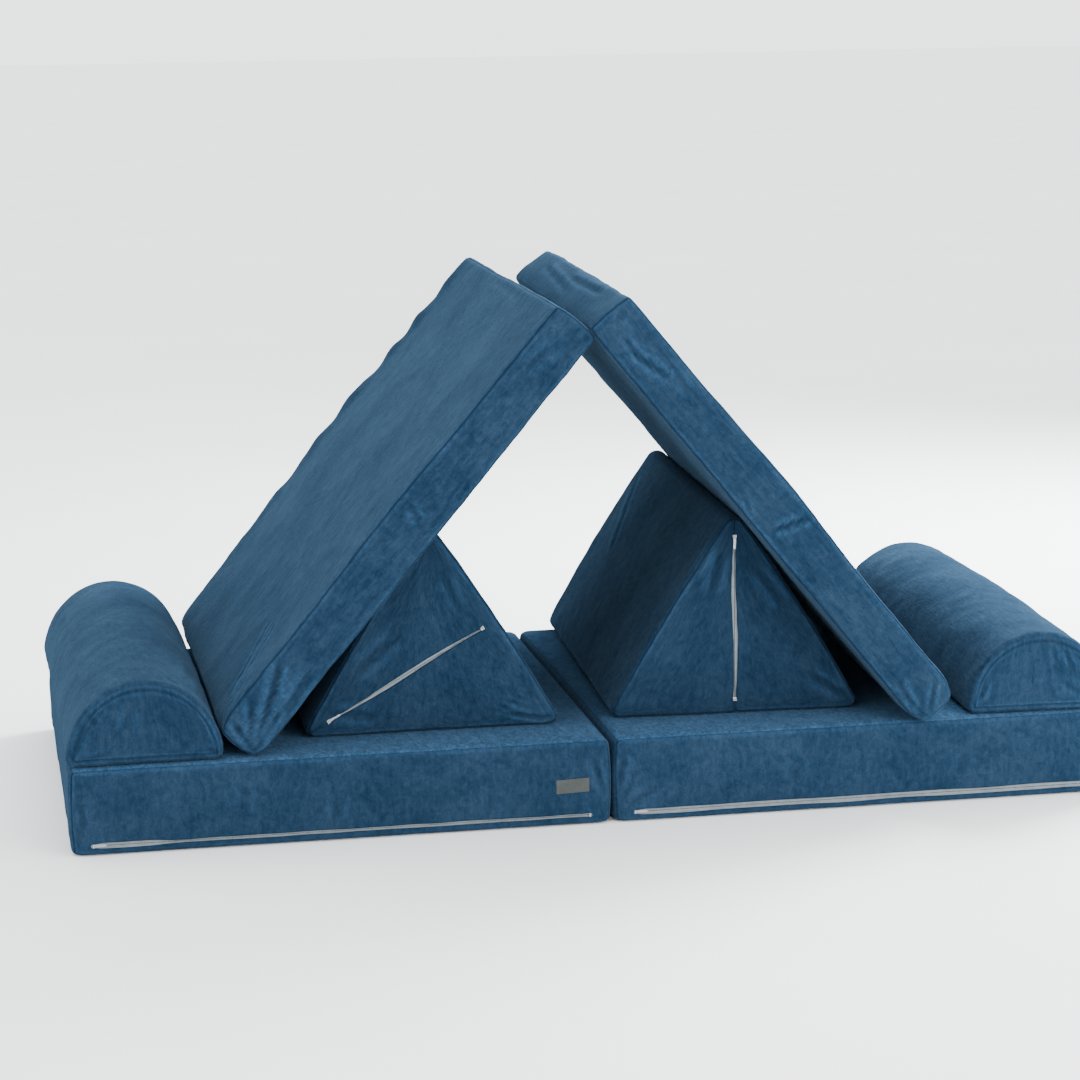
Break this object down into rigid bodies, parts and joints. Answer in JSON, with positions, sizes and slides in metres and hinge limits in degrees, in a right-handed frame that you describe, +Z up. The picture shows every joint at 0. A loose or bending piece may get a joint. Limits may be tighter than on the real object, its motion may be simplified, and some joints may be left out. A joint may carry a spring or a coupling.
{
  "type": "modular foam play sofa",
  "caption": "Modular foam play sofa set up as a den: square base slabs, leaning A-frame mats, triangular wedges and half-round bolsters in zipped velvet covers.",
  "frame": {"origin": "on the floor, under the middle of the seam between the two base slabs", "axes": "+Z up, +X to the right across both slabs, -Y towards the front where the den opens and the base zips are"},
  "size_m": [1.6898, 0.8628, 0.8175],
  "materials": {
    "velvet": "matt short-pile velvet",
    "foam": "open-cell polyurethane foam",
    "zip_tape": "woven polyester zip tape with coil",
    "zip_slider": "nickel-coloured zinc",
    "zip_stop": "white plastic",
    "label": "plain woven label"
  },
  "bodies": {
    "base_left": {"base_left_cover": "velvet", "base_left_foam_core": "foam", "base_left_zip_tape_upper": "zip_tape", "base_left_zip_tape_lower": "zip_tape", "base_left_zip_stop_start": "zip_stop", "base_left_zip_stop_end": "zip_stop", "base_left_label": "label"},
    "base_left_zip_slider": {"base_left_zip_slider": "zip_slider"},
    "base_right": {"base_right_cover": "velvet", "base_right_foam_core": "foam", "base_right_zip_tape_upper": "zip_tape", "base_right_zip_tape_lower": "zip_tape", "base_right_zip_stop_start": "zip_stop", "base_right_zip_stop_end": "zip_stop"},
    "base_right_zip_slider": {"base_right_zip_slider": "zip_slider"},
    "mat_left": {"mat_left_cover": "velvet", "mat_left_foam_core": "foam", "mat_left_zip_tape_outer": "zip_tape", "mat_left_zip_tape_inner": "zip_tape", "mat_left_zip_stop_start": "zip_stop", "mat_left_zip_stop_end": "zip_stop"},
    "mat_left_zip_slider": {"mat_left_zip_slider": "zip_slider"},
    "mat_right": {"mat_right_cover": "velvet", "mat_right_foam_core": "foam", "mat_right_zip_tape_outer": "zip_tape", "mat_right_zip_tape_inner": "zip_tape", "mat_right_zip_stop_start": "zip_stop", "mat_right_zip_stop_end": "zip_stop"},
    "mat_right_zip_slider": {"mat_right_zip_slider": "zip_slider"},
    "wedge_left": {"wedge_left_cover": "velvet", "wedge_left_foam_core": "foam", "wedge_left_zip_tape_upper": "zip_tape", "wedge_left_zip_tape_lower": "zip_tape", "wedge_left_zip_stop_start": "zip_stop", "wedge_left_zip_stop_end": "zip_stop"},
    "wedge_left_zip_slider": {"wedge_left_zip_slider": "zip_slider"},
    "wedge_right": {"wedge_right_cover": "velvet", "wedge_right_foam_core": "foam", "wedge_right_zip_tape_upper": "zip_tape", "wedge_right_zip_tape_lower": "zip_tape", "wedge_right_zip_stop_start": "zip_stop", "wedge_right_zip_stop_end": "zip_stop"},
    "wedge_right_zip_slider": {"wedge_right_zip_slider": "zip_slider"},
    "bolster_left": {"bolster_left_cover": "velvet", "bolster_left_foam_core": "foam", "bolster_left_zip_tape_right": "zip_tape", "bolster_left_zip_tape_left": "zip_tape", "bolster_left_zip_stop_start": "zip_stop", "bolster_left_zip_stop_end": "zip_stop"},
    "bolster_left_zip_slider": {"bolster_left_zip_slider": "zip_slider"},
    "bolster_right": {"bolster_right_cover": "velvet", "bolster_right_foam_core": "foam", "bolster_right_zip_tape_right": "zip_tape", "bolster_right_zip_tape_left": "zip_tape", "bolster_right_zip_stop_start": "zip_stop", "bolster_right_zip_stop_end": "zip_stop"},
    "bolster_right_zip_slider": {"bolster_right_zip_slider": "zip_slider"}
  },
  "joints": [
    {"name": "base_right_slide", "type": "slide", "parent": "base_left", "child": "base_right", "axis": [1, 0, 0], "range_m": [0, 0.5]},
    {"name": "bolster_left_lift", "type": "slide", "parent": "base_left", "child": "bolster_left", "axis": [0, 0, 1], "range_m": [0, 0.4]},
    {"name": "bolster_right_lift", "type": "slide", "parent": "base_right", "child": "bolster_right", "axis": [0, 0, 1], "range_m": [0, 0.4]},
    {"name": "mat_left_lift", "type": "slide", "parent": "base_left", "child": "mat_left", "axis": [0, 0, 1], "range_m": [0, 0.4]},
    {"name": "mat_right_lift", "type": "slide", "parent": "base_right", "child": "mat_right", "axis": [0, 0, 1], "range_m": [0, 0.4]},
    {"name": "wedge_left_slide", "type": "slide", "parent": "base_left", "child": "wedge_left", "axis": [0, -1, 0], "range_m": [0, 0.75]},
    {"name": "wedge_right_slide", "type": "slide", "parent": "base_right", "child": "wedge_right", "axis": [-0.0489, -0.9988, 0], "range_m": [0, 0.75]},
    {"name": "base_left_zip_slide", "type": "slide", "parent": "base_left", "child": "base_left_zip_slider", "axis": [1, 0, 0], "range_m": [0, 0.7448]},
    {"name": "base_right_zip_slide", "type": "slide", "parent": "base_right", "child": "base_right_zip_slider", "axis": [1, 0, 0], "range_m": [0, 0.7448]},
    {"name": "mat_left_zip_slide", "type": "slide", "parent": "mat_left", "child": "mat_left_zip_slider", "axis": [-0.6481, 0, -0.7615], "range_m": [0, 0.6868]},
    {"name": "mat_right_zip_slide", "type": "slide", "parent": "mat_right", "child": "mat_right_zip_slider", "axis": [-0.6272, 0.0307, 0.7782], "range_m": [0, 0.6868]},
    {"name": "wedge_left_zip_slide", "type": "slide", "parent": "wedge_left", "child": "wedge_left_zip_slider", "axis": [0.8746, 0, 0.4848], "range_m": [0, 0.2564]},
    {"name": "wedge_right_zip_slide", "type": "slide", "parent": "wedge_right", "child": "wedge_right_zip_slider", "axis": [0, 0, -1], "range_m": [0, 0.2401]},
    {"name": "bolster_left_zip_slide", "type": "slide", "parent": "bolster_left", "child": "bolster_left_zip_slider", "axis": [-0.0087, 1, 0], "range_m": [0, 0.6748]},
    {"name": "bolster_right_zip_slide", "type": "slide", "parent": "bolster_right", "child": "bolster_right_zip_slider", "axis": [0.0332, 0.9995, 0], "range_m": [0, 0.6748]}
  ]
}
